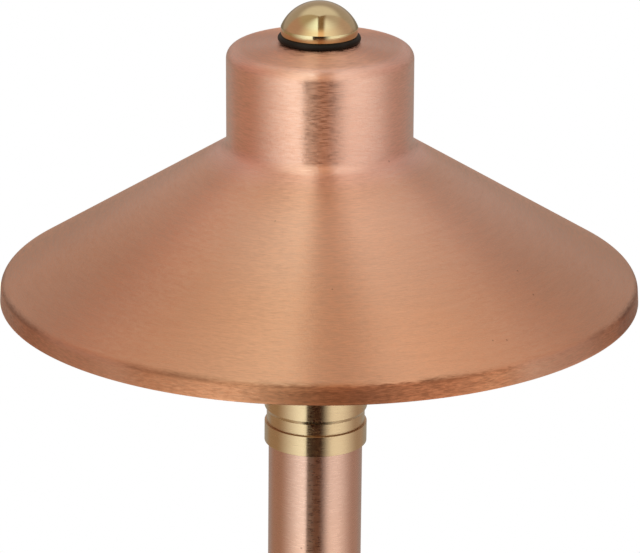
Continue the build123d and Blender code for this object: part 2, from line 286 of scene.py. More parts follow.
def thread(low, high, radius, pitch, depth, x=0.0, y=0.0, bore=0.0, segments=48):
    """The skin of a screw thread, chamfered at both ends."""
    steps = ceil((high - low) / pitch * 8)
    ease = depth * 1.2
    rings = []
    for i in range(steps + 1):
        z = low + (high - low) * i / steps
        limit = radius - max(0.0, ease - (z - low), ease - (high - z))

        def at(a):
            phase = (z / pitch - a / (2 * pi)) % 1
            flank = min(max(abs(2 * phase - 1) * 1.4 - 0.2, 0), 1)
            return min(radius - depth * flank, limit)

        rings.append(circle(at, z, segments, x, y))
    if bore:
        inside = [circle(bore, high, segments, x, y), circle(bore, low, segments, x, y)]
        return skin(rings + inside, loop=True)
    return skin([circle(0, low, segments, x, y)] + rings + [circle(0, high, segments, x, y)])


def cross(arm, width):
    """The radius at each angle of a plus sign."""
    def at(a):
        fold = (a + pi / 4) % (pi / 2) - pi / 4
        return min(arm / cos(fold), width / 2 / max(abs(sin(fold)), 1e-6))
    return at


def screw(x, y, seat, tip, radius, head_radius, head_height, pitch):
    """The skins of a pan head with a cross recess and of its threaded shank."""
    top = seat + head_height
    arm = head_radius * 0.6
    width = head_radius * 0.28
    corners = [(head_radius, seat), (head_radius, top), (arm * 1.15, top)]
    side = bend_line(corners, [0, head_height * 0.5, 0], 6)
    rings = [circle(0, seat, 48, x, y)] + [circle(r, z, 48, x, y) for r, z in side]
    rings.append(circle(cross(arm, width), top, 48, x, y))
    rings.append(circle(cross(arm * 0.75, width * 0.8), top - head_height * 0.55, 48, x, y))
    rings.append(circle(0, top - head_height * 0.62, 48, x, y))
    return [skin(rings), thread(tip, seat, radius, pitch, pitch * thread_depth, x, y, segments=32)]


def shade_mesh(piece, sharp=40):
    """Smooth shading with hard edges kept, weighted towards the large faces."""
    piece.data.shade_smooth()
    piece.data.set_sharp_from_angle(angle=radians(sharp))
    weighted = piece.modifiers.new("normals", "WEIGHTED_NORMAL")
    weighted.keep_sharp = True


def solid(name, skins, move=None, sharp=40):
    """One object made of skins, with its faces turned outward."""
    vertices = []
    faces = []
    for points, corners in skins:
        faces += [[c + len(vertices) for c in face] for face in corners]
        vertices += points
    mesh = bpy.data.meshes.new(name)
    mesh.from_pydata(vertices, [], faces)
    if move:
        mesh.transform(move)
    work = bmesh.new()
    work.from_mesh(mesh)
    bmesh.ops.recalc_face_normals(work, faces=work.faces)
    work.to_mesh(mesh)
    work.free()
    piece = bpy.data.objects.new(name, mesh)
    scene.collection.objects.link(piece)
    shade_mesh(piece, sharp)
    return piece


def stand_for(piece, node, material):
    """A piece takes a node's place, body and finish."""
    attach(piece, body_of[node])
    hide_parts(node)
    dress(piece, material)
    return piece


def dress(piece, material):
    """One material on the whole piece."""
    piece.data.materials.clear()
    piece.data.materials.append(material)


def dress_cad(node, material, bevel=0.0):
    """A CAD node keeps its shape, with its edges eased by a modifier, and gets a material."""
    piece = cad[node]
    if bevel:
        piece.modifiers.new("weld", "WELD").merge_threshold = 0.00001
        eased_edges = piece.modifiers.new("bevel", "BEVEL")
        eased_edges.width = bevel
        eased_edges.segments = 2
        eased_edges.limit_method = "ANGLE"
        eased_edges.angle_limit = radians(35)
        piece.modifiers.new("normals", "WEIGHTED_NORMAL")
    for i in range(len(piece.data.materials)):
        piece.data.materials[i] = material


# Shader helpers

def add_node(tree, kind, inputs=(), **settings):
    """Adds a shader node. inputs gives values or other nodes' outputs by socket name or number."""
    made = tree.nodes.new("ShaderNode" + kind)
    for key, value in settings.items():
        setattr(made, key, value)
    for key, value in dict(inputs).items():
        if isinstance(value, bpy.types.NodeSocket):
            tree.links.new(value, made.inputs[key])
        else:
            made.inputs[key].default_value = value
    return made


def maths(tree, operation, *values):
    """The result of a Math node."""
    return add_node(tree, "Math", dict(enumerate(values)), operation=operation).outputs[0]


def ramp(tree, value, start, end, low=0.0, high=1.0):
    """low up to start, high from end on, and a smooth change between."""
    inputs = {"Value": value, "From Min": start, "From Max": end, "To Min": low, "To Max": high}
    return add_node(tree, "MapRange", inputs, interpolation_type="SMOOTHSTEP", clamp=True).outputs["Result"]


def window(tree, value, start, full, last, end):
    """1 between full and last, 0 before start and past end, with smooth sides."""
    return maths(tree, "MULTIPLY", ramp(tree, value, start, full), ramp(tree, value, last, end, 1.0, 0.0))


def mix(tree, factor, first, second, blend="MIX"):
    """Mixes two colours."""
    made = add_node(tree, "Mix", data_type="RGBA", blend_type=blend, clamp_factor=True)
    for socket, value in zip((made.inputs[0], made.inputs[6], made.inputs[7]), (factor, first, second)):
        if isinstance(value, bpy.types.NodeSocket):
            tree.links.new(value, socket)
        elif isinstance(value, (int, float)):
            socket.default_value = value
        else:
            socket.default_value = (*value, 1)
    return made.outputs[2]


def scaled(tree, colour, factor):
    """A colour times a number."""
    grey = add_node(tree, "CombineColor", {0: factor, 1: factor, 2: factor}).outputs[0]
    return mix(tree, 1.0, colour, grey, "MULTIPLY")


def noise(tree, place, scale, detail=2.0):
    """Plain noise."""
    return add_node(tree, "TexNoise", {"Vector": place, "Scale": scale, "Detail": detail}).outputs["Fac"]


def bumped(tree, shader, height, strength, distance=0.0002):
    """Raises the surface by a height."""
    raised = add_node(tree, "Bump", {"Height": height, "Strength": strength, "Distance": distance})
    tree.links.new(raised.outputs[0], shader.inputs["Normal"])


def new_material(name):
    """A material with one Principled shader. Returns the material, its tree and the shader."""
    material = bpy.data.materials.new(name)
    material.use_nodes = True
    tree = material.node_tree
    return material, tree, tree.nodes["Principled BSDF"]


def object_place(tree):
    """The place on the piece, in the frame's metres."""
    return add_node(tree, "TexCoord").outputs["Object"]


def round_parts(tree):
    """The place, its x, y and z, and the distance from the lamp's axis."""
    place = object_place(tree)
    x, y, z = add_node(tree, "SeparateXYZ", {0: place}).outputs
    square = maths(tree, "ADD", maths(tree, "MULTIPLY", x, x), maths(tree, "MULTIPLY", y, y))
    radius = maths(tree, "MAXIMUM", maths(tree, "SQRT", square), 0.00001)
    return place, x, y, z, radius


def turned_noise(tree, parts, along, across, detail=2.0):
    """Noise drawn out round the lamp's axis, with so many marks per metre along and across it."""
    x, y, z, radius = parts[1:]
    inputs = {
        0: maths(tree, "MULTIPLY", x, along),
        1: maths(tree, "MULTIPLY", y, along),
        2: maths(tree, "MULTIPLY", z, across),
    }
    vector = add_node(tree, "CombineXYZ", inputs).outputs[0]
    outward = maths(tree, "MULTIPLY", radius, across)
    inputs = {"Vector": vector, "W": outward, "Scale": 1.0, "Detail": detail}
    return add_node(tree, "TexNoise", inputs, noise_dimensions="4D").outputs["Fac"]


def specks(tree, place, scale, size, share):
    """Small marks on a share of the cells: 1 in a mark, 0 elsewhere."""
    cells = add_node(tree, "TexVoronoi", {"Vector": place, "Scale": scale, "Randomness": 1.0})
    near = ramp(tree, cells.outputs["Distance"], size * 0.4, size, 1.0, 0.0)
    pick = add_node(tree, "SeparateColor", {0: cells.outputs["Color"]}).outputs[0]
    return maths(tree, "MULTIPLY", near, ramp(tree, pick, share * 0.98, share, 1.0, 0.0))


def lathe_metal(name, colour, roughness, anisotropy, streak=0.07, bump=0.02, cloud=0.05, marks=0.4,
                fine=2800.0, grain=0.0, uneven=0.3):
    """A metal with turning or brushing marks round the lamp's axis. Returns what a caller may add to."""
    wide = 900.0
    material, tree, shader = new_material(name)
    parts = round_parts(tree)
    place = parts[0]
    fine_marks = ramp(tree, turned_noise(tree, parts, fine / 6, fine, 1.0), 0.25, 0.75)
    wide_marks = ramp(tree, turned_noise(tree, parts, wide / 8, wide, 2.0), 0.25, 0.75)
    clouds = noise(tree, place, 14.0, 3.0)
    shade = maths(tree, "MULTIPLY_ADD", fine_marks, 2 * streak, 1 - streak)
    wide_shade = maths(tree, "MULTIPLY_ADD", wide_marks, streak * 0.5, 1 - streak * 0.25)
    shade = maths(tree, "MULTIPLY", shade, wide_shade)
    shade = maths(tree, "MULTIPLY", shade, maths(tree, "MULTIPLY_ADD", clouds, 2 * cloud, 1 - cloud))
    dots = maths(tree, "MULTIPLY", specks(tree, place, 260.0, 0.1, 0.08), marks)
    shade = maths(tree, "MULTIPLY", shade, maths(tree, "SUBTRACT", 1.0, dots))
    warm = [c * w for c, w in zip(colour, (1.03, 0.97, 0.9))]
    tinted = scaled(tree, mix(tree, ramp(tree, clouds, 0.35, 0.7), colour, warm), shade)
    tree.links.new(tinted, shader.inputs["Base Color"])
    shader.inputs["Metallic"].default_value = 1.0
    shader.inputs["Anisotropic"].default_value = anisotropy
    shader.inputs["Anisotropic Rotation"].default_value = 0.25
    tangent = add_node(tree, "Tangent", direction_type="RADIAL", axis="Z")
    tree.links.new(tangent.outputs[0], shader.inputs["Tangent"])
    spread = maths(tree, "MULTIPLY_ADD", fine_marks, roughness * uneven, roughness * (1 - uneven / 2))
    tree.links.new(spread, shader.inputs["Roughness"])
    height = maths(tree, "MULTIPLY_ADD", wide_marks, 0.5, fine_marks)
    if grain:
        height = maths(tree, "MULTIPLY_ADD", noise(tree, place, 2200.0, 1.0), grain, height)
    bumped(tree, shader, height, bump)
    return {
        "material": material,
        "tree": tree,
        "shader": shader,
        "parts": parts,
        "colour": tinted,
        "rough": spread,
    }


def metal(name, colour, roughness, **settings):
    """A turned metal's material."""
    return lathe_metal(name, colour, roughness, **settings)["material"]


def moulded(name, colour, roughness, grain=900.0, bump=0.05, stain=1.15, transmission=0.0, level=0.5,
            wear_and_sheen=120.0):
    """Plastic, rubber, glass or ceramic with a fine grain and slight clouding."""
    material, tree, shader = new_material(name)
    place = object_place(tree)
    fine = noise(tree, place, grain, 3.0)
    clouds = noise(tree, place, wear_and_sheen, 4.0)
    lighter = [min(1.0, c * stain + 0.004) for c in colour]
    tree.links.new(mix(tree, ramp(tree, clouds, 0.45, 0.75), colour, lighter), shader.inputs["Base Color"])
    spread = maths(tree, "ADD", maths(tree, "MULTIPLY", fine, 0.1), maths(tree, "MULTIPLY", clouds, 0.1))
    tree.links.new(maths(tree, "ADD", spread, max(roughness - 0.1, 0.0)), shader.inputs["Roughness"])
    shader.inputs["Transmission Weight"].default_value = transmission
    shader.inputs["Specular IOR Level"].default_value = level
    bumped(tree, shader, fine, bump, 0.0001)
    return material


# Colours
# The four hat coppers are partly the copper's own tone and partly painted light: lighter on the upright
# crown wall, darker on top and on the lower cone.
top_copper = (0.73, 0.45, 0.34)
crown_copper = (0.86, 0.57, 0.48)
cone_copper = (0.78, 0.49, 0.36)
low_copper = (0.71, 0.41, 0.27)
stained_copper = (0.47, 0.2, 0.11)
rim_copper = (0.64, 0.32, 0.19)
stem_copper = (0.69, 0.45, 0.37)
brass = (0.6, 0.45, 0.28)
knob_brass = (0.55, 0.48, 0.3)
bar_brass = (0.62, 0.46, 0.27)
stainless = (0.62, 0.62, 0.61)
hat_roughness = 0.38
hat_pull = 0.96


def hat_finish():
    """Brushed copper, its tones partly painted light: darker on top, lighter and pinkest on the upright
    crown wall, darker and more orange outward, with a scuffed rim band, painted shade along its crease and a
    painted highlight on its lower edge.
    """
    made = lathe_metal("hat_copper", (1.0, 1.0, 1.0), hat_roughness, hat_pull, streak=0.1, bump=0.08,
                       grain=1.0, uneven=0.5)
    tree, shader, parts, colour = made["tree"], made["shader"], made["parts"], made["colour"]
    place, x, y, z, radius = parts
    drift = noise(tree, place, 9.0, 3.0)
    reach = maths(tree, "MULTIPLY_ADD", drift, 0.03, radius)
    # Copper tones by radius, partly painted light: lighter on the crown wall, darker on top and on the lower
    # cone.
    zones = mix(tree, ramp(tree, radius, 0.021, 0.025), top_copper, crown_copper)
    zones = mix(tree, ramp(tree, radius, 0.026, 0.034), zones, cone_copper)
    zones = mix(tree, ramp(tree, reach, 0.055, 0.09), zones, low_copper)

    # Where the band is, how high on it, and how far round
    coarse = turned_noise(tree, parts, 520.0, 2800.0, 3.0)
    level = maths(tree, "MULTIPLY_ADD", x, -hat_lean, z)
    level = maths(tree, "SUBTRACT", maths(tree, "MULTIPLY_ADD", coarse, ragged_by, level), rim_bottom)
    on_band = ramp(tree, level, *band_fade, 0.0, 1.0)
    on_band = maths(tree, "MULTIPLY", on_band, ramp(tree, radius, 0.078, 0.086))
    turn = maths(tree, "DEGREES", maths(tree, "ARCTAN2", x, maths(tree, "MULTIPLY", y, -1.0)))
    turn = maths(tree, "MULTIPLY_ADD", drift, 12.0, maths(tree, "SUBTRACT", turn, 6.0))

    # Its colour, with rubbed and stained stretches
    rubbed, stained = (maths(tree, "ADD", *(window(tree, turn, *span) for span in spans))
                       for spans in (rubbed_spans, stained_spans))
    band_colour = mix(tree, stained, mix(tree, rubbed, rim_copper, cone_copper), stained_copper)
    zones = mix(tree, on_band, zones, band_colour)
    colour = mix(tree, 1.0, colour, zones, "MULTIPLY")

    # Its scrapes, painted shade along the crease over it, and a painted highlight on its lower edge
    scuffed = ramp(tree, noise(tree, place, 28.0, 2.0), 0.45, 0.65)
    depth = maths(tree, "MULTIPLY", on_band, maths(tree, "MULTIPLY_ADD", scuffed, 0.12, 0.14))
    depth = maths(tree, "MULTIPLY", depth, maths(tree, "MULTIPLY_ADD", rubbed, -0.6, 1.0))
    scrapes_and_painted_light = maths(tree, "MULTIPLY_ADD", ramp(tree, coarse, 0.3, 0.7, -1.0, 1.0), depth, 1.0)
    # Painted shade: a dark line in patches along the crease, fainter where the band is rubbed
    crease_shade = window(tree, level, *crease_shade_span)
    crease_shade = maths(tree, "MULTIPLY", crease_shade, ramp(tree, noise(tree, place, 45.0, 2.0), 0.4, 0.6, 0.0, 0.3))
    crease_shade = maths(tree, "MULTIPLY", crease_shade, maths(tree, "MULTIPLY_ADD", rubbed, -0.9, 1.0))
    scrapes_and_painted_light = maths(tree, "MULTIPLY", scrapes_and_painted_light, maths(tree, "SUBTRACT", 1.0, crease_shade))
    # Painted highlight: the band's lowest strip lighter, in patches
    wear_and_sheen = ramp(tree, level, *edge_highlight_span, 0.0, 1.0)
    wear_and_sheen = maths(tree, "MULTIPLY", wear_and_sheen, ramp(tree, noise(tree, place, 30.0, 2.0), 0.4, 0.6, 0.0, 0.22))
    scrapes_and_painted_light = maths(tree, "MULTIPLY", scrapes_and_painted_light, maths(tree, "ADD", 1.0, wear_and_sheen))
    tree.links.new(scaled(tree, colour, scrapes_and_painted_light), shader.inputs["Base Color"])
    rough = maths(tree, "MULTIPLY_ADD", on_band, 0.1, made["rough"])
    tree.links.new(rough, shader.inputs["Roughness"])
    return made["material"]


turned_brass = metal("turned_brass", brass, 0.24, anisotropy=0.95, streak=0.04)
plain_brass = metal("plain_brass", bar_brass, 0.3, anisotropy=0.6, streak=0.08, fine=2600.0)
steel = metal("stainless_steel", stainless, 0.28, anisotropy=0.5, streak=0.05)
black_rubber = moulded("black_rubber", (0.009, 0.007, 0.005), 0.5, grain=1800.0, bump=0.15, stain=1.8,
                       level=0.15)
silicone = moulded("silicone", (0.8, 0.8, 0.78), 0.4, stain=0.94, transmission=0.35)
frosted = moulded("frosted_glass", (0.94, 0.96, 0.95), 0.42, grain=2500.0, bump=0.12, stain=1.0,
                  transmission=0.9)
ceramic = moulded("white_ceramic", (0.86, 0.84, 0.79), 0.35, grain=1500.0, bump=0.06, stain=0.95)
board = moulded("white_board", (0.88, 0.88, 0.86), 0.45, grain=2200.0, bump=0.08, stain=0.96)
lamp_plastic = moulded("lamp_plastic", (0.88, 0.87, 0.83), 0.3, stain=0.96)
phosphor = moulded("phosphor", (0.9, 0.72, 0.12), 0.5, grain=3500.0, bump=0.1, stain=1.06)
clear_plastic = moulded("clear_plastic", (0.97, 0.97, 0.97), 0.08, bump=0.01, stain=1.0, transmission=1.0)
insulation = moulded("lead_insulation", (0.02, 0.02, 0.021), 0.42, grain=700.0, stain=1.6)
blue_nylon = moulded("blue_nylon", (0.07, 0.16, 0.5), 0.3, stain=1.15)
stake_plastic = moulded("stake_plastic", (0.028, 0.028, 0.029), 0.5, grain=1400.0, bump=0.25, stain=1.7,
                        wear_and_sheen=60.0)

# The hat, which sits slightly askew by its hole's play on the stud
band_in = band_height * tan(band_draft)
cone_top = rim_bottom + band_height + (rim_radius - band_in - crown_radius) * tan(cone_angle)
top_drop = (crown_radius - top_flat_radius) * tan(top_slope)
outer_corners = [
    (rim_radius, rim_bottom),
    (rim_radius - band_in, rim_bottom + band_height),
    (crown_radius, cone_top),
    (crown_radius, hat_top - top_drop),
    (top_flat_radius, hat_top),
    (hat_hole_radius, hat_top),
]
inner_corners = offset_corners(outer_corners, sheet)
outer_bends = [raw_edge, rim_bend, crown_bend, shoulder_bend, top_blend, raw_edge]
inner_bends = [
    raw_edge,
    rim_bend - sheet,
    crown_bend + sheet,
    shoulder_bend - sheet,
    top_blend - sheet,
    raw_edge,
]
hat_corners = outer_corners + inner_corners[::-1]
hat_outline = bend_line(hat_corners, outer_bends + inner_bends[::-1], 10, closed=True)
pivot = Matrix.Translation((0, 0, hat_top))
askew = Matrix.Translation((hat_shift, 0, 0)) @ pivot @ Matrix.Rotation(-hat_lean, 4, "Y") @ pivot.inverted()
stand_for(solid("hat_shell", [turned(hat_outline, 288)], askew), "hat", hat_finish())

# The knob and its O-ring
knob_low, knob_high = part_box("knob")
knob_base = knob_high.z - dome_rise - knob_band
stud_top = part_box("hat_stud")[1].z
dome_foot = knob_base + knob_band
dome_radius = (knob_radius ** 2 + dome_rise ** 2) / (2 * dome_rise)
dome_centre = dome_foot + dome_rise - dome_radius
dome_start = asin((dome_foot - dome_centre) / dome_radius)
dome_steps = 36
dome = [(0.0, dome_foot + dome_rise)]
for i in range(1, dome_steps):
    angle = pi / 2 + (dome_start - pi / 2) * i / dome_steps
    dome.append((dome_radius * cos(angle), dome_centre + dome_radius * sin(angle)))
under = [
    dome[-1],
    (knob_radius, dome_foot),
    (knob_foot_radius, knob_base),
    (knob_spigot_radius, knob_base),
    (knob_spigot_radius, knob_low.z),
    (stud_bore, knob_low.z),
    (stud_bore, stud_top + tip_room),
    (0.0, stud_top + tip_room + stud_bore * 0.3),
]
under = bend_line(under, [0, knob_edge, knob_edge, 0, knob_edge, knob_edge, 0, 0], 4)
polished_brass = metal("polished_brass", knob_brass, 0.11, anisotropy=0.2, streak=0.02, bump=0.01,
                       cloud=0.04, marks=0.3)
stand_for(solid("knob_dome", [turned(dome[:-1] + under, 192)]), "knob", polished_brass)

ring_low, ring_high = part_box("knob_o_ring")
ring_half = (ring_high.z - ring_low.z) / 2
ring_centre = (ring_high.x - ring_half, ring_low.z + ring_half)
ring_steps = 24
ring_outline = []
for i in range(ring_steps):
    a = 2 * pi * i / ring_steps
    ring_outline.append((ring_centre[0] + ring_half * cos(a), ring_centre[1] + ring_half * sin(a)))
stand_for(solid("o_ring", [turned(ring_outline, 160)]), "knob_o_ring", black_rubber)

# The stud, the washer and the lens cap with its screws
stud_low, stud_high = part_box("hat_stud")
stud_depth = stud_pitch * thread_depth
stud_thread = thread(stud_low.z, stud_high.z, stud_high.x, stud_pitch, stud_depth, segments=64)
stand_for(solid("stud_thread", [stud_thread]), "hat_stud", plain_brass)

washer_low, washer_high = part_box("hat_washer")
washer_corners = [
    (hat_hole_radius, washer_low.z),
    (washer_high.x, washer_low.z),
    (washer_high.x, washer_high.z),
    (hat_hole_radius, washer_high.z),
]
stand_for(solid("washer_ring", [turned(eased(washer_corners, washer_edge), 96)]), "hat_washer", silicone)

cap_low, cap_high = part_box("lens_cap")
cap_top = cap_low.z + cap_thickness
cap_corners = [
    (0.0, cap_low.z + lens_recess),
    (recess_radius, cap_low.z + lens_recess),
    (recess_radius, cap_low.z),
    (cap_radius, cap_low.z),
    (cap_radius, cap_top - cap_chamfer),
    (cap_radius - cap_chamfer, cap_top),
    (boss_radius, cap_top),
    (boss_radius, cap_high.z),
    (0.0, cap_high.z),
]
stand_for(solid("cap_disc", [turned(eased(cap_corners, cap_edge), 160)]), "lens_cap", plain_brass)

screw_low, screw_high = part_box("cap_screws")
cap_screw_skins = []
for angle in post_angles:
    x, y = post_circle * cos(angle), post_circle * sin(angle)
    cap_screw_skins += screw(x, y, cap_top, screw_low.z, m3_radius, m3_head_radius, screw_high.z - cap_top,
                             m3_pitch)
stand_for(solid("cap_screw_set", cap_screw_skins), "cap_screws", steel)

post_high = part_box("lens_posts")[1]
flange_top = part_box("lamp_housing")[1].z
post_corners = [(0.0, flange_top), (post_radius, flange_top), (post_radius, post_high.z), (0.0, post_high.z)]
post_skins = []
for angle in post_angles:
    x, y = post_circle * cos(angle), post_circle * sin(angle)
    post_skins.append(turned(eased(post_corners, post_edge), 48, x, y))
stand_for(solid("post_set", post_skins), "lens_posts", plain_brass)

# The glass and its gaskets
lens_low, lens_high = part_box("lens")
lens_radius = lens_high.x
lens_corners = [
    (lens_radius - lens_wall, lens_low.z),
    (lens_radius, lens_low.z),
    (lens_radius, lens_high.z),
    (lens_radius - lens_wall, lens_high.z),
]
stand_for(solid("lens_tube", [turned(eased(lens_corners, lens_edge), 160)]), "lens", frosted)
for gasket in ("lens_top_gasket", "lens_bottom_gasket"):
    low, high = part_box(gasket)
    inner = lens_radius - lens_wall - (high.x - lens_radius)
    corners = [(inner, low.z), (high.x, low.z), (high.x, high.z), (inner, high.z)]
    stand_for(solid(gasket + "_ring", [turned(eased(corners, gasket_edge), 120)]), gasket, silicone)

# The lamp housing, the collar and the stem
neck_top = collar_top + neck_height
wall_bottom = neck_top + flare_height
flange_bottom = wall_bottom + wall_length
housing_corners = [
    (lead_bore, collar_top - spigot_length),
    (spigot_radius, collar_top - spigot_length),
    (spigot_radius, collar_top),
    (neck_radius, collar_top),
    (neck_radius, neck_top),
    (wall_radius, wall_bottom),
    (wall_radius, flange_bottom - flange_cone),
    (wall_radius + flange_cone, flange_bottom),
    (flange_radius - flange_chamfer, flange_bottom),
    (flange_radius, flange_bottom + flange_chamfer),
    (flange_radius, flange_top - flange_chamfer),
    (flange_radius - flange_chamfer, flange_top),
    (recess_radius, flange_top),
    (recess_radius, flange_top - lens_recess),
    (housing_bore, flange_top - lens_recess),
    (housing_bore, flange_top - ledge_depth),
    (cavity_bore, flange_top - ledge_depth),
    (cavity_bore, collar_top + floor_thickness),
    (lead_bore, collar_top + floor_thickness),
]
housing_line = eased(housing_corners, housing_edge)
stand_for(solid("housing_turned", [turned(housing_line, 192)]), "lamp_housing", turned_brass)

bore_radius = stem_radius - stem_wall
sleeve_radius = bore_radius - braze
collar_bottom = collar_top - collar_height
collar_corners = [
    (spigot_radius + slip, tube_top - sleeve_length),
    (sleeve_radius, tube_top - sleeve_length),
    (sleeve_radius, tube_top),
    (stem_radius + braze, tube_top),
    (stem_radius + braze, collar_bottom),
    (collar_radius, collar_bottom),
    (collar_radius, collar_top),
    (spigot_radius + slip, collar_top),
]
collar_line = eased(collar_corners, turned_edge)
stand_for(solid("collar_turned", [turned(collar_line, 192)]), "stem_collar", turned_brass)

stem_corners = [
    (bore_radius, tube_bottom),
    (stem_radius, tube_bottom),
    (stem_radius, tube_top),
    (bore_radius, tube_top),
]
brushed_copper = metal("stem_copper", stem_copper, 0.3, anisotropy=1.0, streak=0.05)
stand_for(solid("stem_tube", [turned(eased(stem_corners, stem_edge), 192)]), "stem", brushed_copper)

base_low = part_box("stem_base")[0]
hub_top = tube_bottom + collar_skirt - collar_height
base_corners = [
    (base_bore, hub_top - base_relief),
    (base_thread_radius - base_thread_depth, hub_top - base_relief),
    (base_thread_radius - base_thread_depth, hub_top),
    (collar_radius, hub_top),
    (collar_radius, tube_bottom + collar_skirt),
    (stem_radius + braze, tube_bottom + collar_skirt),
    (stem_radius + braze, tube_bottom),
    (sleeve_radius, tube_bottom),
    (sleeve_radius, tube_bottom + sleeve_length),
    (base_bore, tube_bottom + sleeve_length),
]
base_skins = [
    turned(eased(base_corners, turned_edge), 160),
    thread(base_low.z, hub_top, base_thread_radius, base_thread_pitch, base_thread_depth, bore=base_bore,
           segments=96),
]
stand_for(solid("base_turned", base_skins), "stem_base", turned_brass)

# The socket, its plate and fasteners
plate_low, plate_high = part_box("socket_plate")
plate_corners = [
    (plate_hole, plate_low.z),
    (plate_high.x, plate_low.z),
    (plate_high.x, plate_high.z),
    (plate_hole, plate_high.z),
]
stand_for(solid("plate_disc", [turned(eased(plate_corners, plate_edge), 96)]), "socket_plate", steel)

plate_screw_low, plate_screw_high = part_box("plate_screws")
head_height = plate_screw_high.z - plate_high.z
plate_screw_skins = []
for side in (-1, 1):
    plate_screw_skins += screw(0, side * plate_screw_circle, plate_high.z, plate_screw_low.z, m2_radius,
                               m2_head_radius, head_height, m2_pitch)
stand_for(solid("plate_screw_set", plate_screw_skins), "plate_screws", steel)

socket_screw_low, socket_screw_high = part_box("socket_screws")
head_seat = socket_screw_high.z - head_height
socket_screw_skins = []
for side in (-1, 1):
    socket_screw_skins += screw(side * socket_screw_offset, 0, head_seat, socket_screw_low.z, m2_radius,
                                m2_head_radius, head_height, m2_pitch)
stand_for(solid("socket_screw_set", socket_screw_skins), "socket_screws", steel)

contact_low, contact_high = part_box("socket_contacts")
contact_corners = [
    (pin_radius + slip, contact_low.z),
    (contact_radius, contact_low.z),
    (contact_radius, contact_high.z),
    (pin_radius + slip * 4, contact_high.z),
    (pin_radius + slip, contact_high.z - contact_mouth),
]
contact_line = eased(contact_corners, contact_edge)
contact_skins = [turned(contact_line, 32, side * pin_pitch / 2) for side in (-1, 1)]
stand_for(solid("contact_set", contact_skins), "socket_contacts", plain_brass)
dress_cad("lamp_socket", ceramic, socket_edge)
dress_cad("socket_nuts", steel, nut_edge)

# The lamp
lamp_low, lamp_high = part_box("lamp_base")
lamp_radius = lamp_high.x
lamp_shoulder = lamp_high.z - lamp_spigot
inside_cover = lamp_radius - cover_wall - braze
lamp_corners = [
    (0.0, lamp_low.z),
    (lamp_radius, lamp_low.z),
    (lamp_radius, lamp_shoulder - groove_low),
    (lamp_radius - groove_depth, lamp_shoulder - groove_low + groove_slope),
    (lamp_radius - groove_depth, lamp_shoulder - groove_high - groove_slope),
    (lamp_radius, lamp_shoulder - groove_high),
    (lamp_radius, lamp_shoulder),
    (inside_cover, lamp_shoulder),
    (inside_cover, lamp_high.z),
    (0.0, lamp_high.z),
]
stand_for(solid("lamp_foot", [turned(eased(lamp_corners, turned_edge), 96)]), "lamp_base", lamp_plastic)

pins_low, pins_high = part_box("lamp_pins")
pin_corners = [(0.0, pins_low.z), (pin_radius, pins_low.z), (pin_radius, pins_high.z), (0.0, pins_high.z)]
pin_line = eased(pin_corners, pin_edge, 5)
pin_skins = [turned(pin_line, 24, side * pin_pitch / 2) for side in (-1, 1)]
stand_for(solid("pin_set", pin_skins), "lamp_pins", steel)

cover_low, cover_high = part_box("lamp_cover")
cover_corners = [
    (lamp_radius, cover_low.z),
    (lamp_radius, cover_high.z),
    (0.0, cover_high.z),
    (0.0, cover_high.z - cover_top),
    (lamp_radius - cover_wall, cover_high.z - cover_top),
    (lamp_radius - cover_wall, cover_low.z),
]
cover_bends = [cover_edge, cover_outer_bend, 0, 0, cover_inner_bend, cover_edge]
cover_line = bend_line(cover_corners, cover_bends, 8, closed=True)
first = next(i for i, point in enumerate(cover_line) if point[0] < 1e-7)
cover_line = cover_line[first + 1:] + cover_line[:first + 1]
stand_for(solid("cover_shell", [turned(cover_line, 96)]), "lamp_cover", clear_plastic)

core_low, core_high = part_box("lamp_core")
core_radius = core_high.x
core_line = [
    (0, core_low.z),
    (core_radius - core_chamfer, core_low.z),
    (core_radius, core_low.z + core_chamfer),
    (core_radius, core_high.z - core_chamfer),
    (core_radius - core_chamfer, core_high.z),
    (0, core_high.z),
]
core_rings = [circle(r, z, core_sides) for r, z in core_line]
stand_for(solid("core_board", [skin(core_rings)], sharp=20), "lamp_core", board)


def pad(angle, z, near, width, height, layers):
    """The skin of a small rounded block on a flat of the core. Layers give inset and depth."""
    out = Vector((cos(angle), sin(angle), 0))
    along = Vector((-sin(angle), cos(angle), 0))
    rings = []
    for inset, depth in layers:
        half_width, half_height = width / 2 - inset, height / 2 - inset
        corner = min(half_width, half_height) * 0.3
        ring = []
        for sx, sz, turn in ((1, 1, 0), (-1, 1, 1), (-1, -1, 2), (1, -1, 3)):
            for k in range(4):
                a = (turn + k / 3) * pi / 2
                across = sx * (half_width - corner) + corner * cos(a)
                upward = sz * (half_height - corner) + corner * sin(a)
                ring.append(tuple(out * (near + depth) + along * across + Vector((0, 0, z + upward))))
        rings.append(ring)
    last = out * (near + layers[-1][1]) + Vector((0, 0, z))
    first = out * (near + layers[0][1]) + Vector((0, 0, z))
    return skin([[tuple(first)]] + rings + [[tuple(last)]])


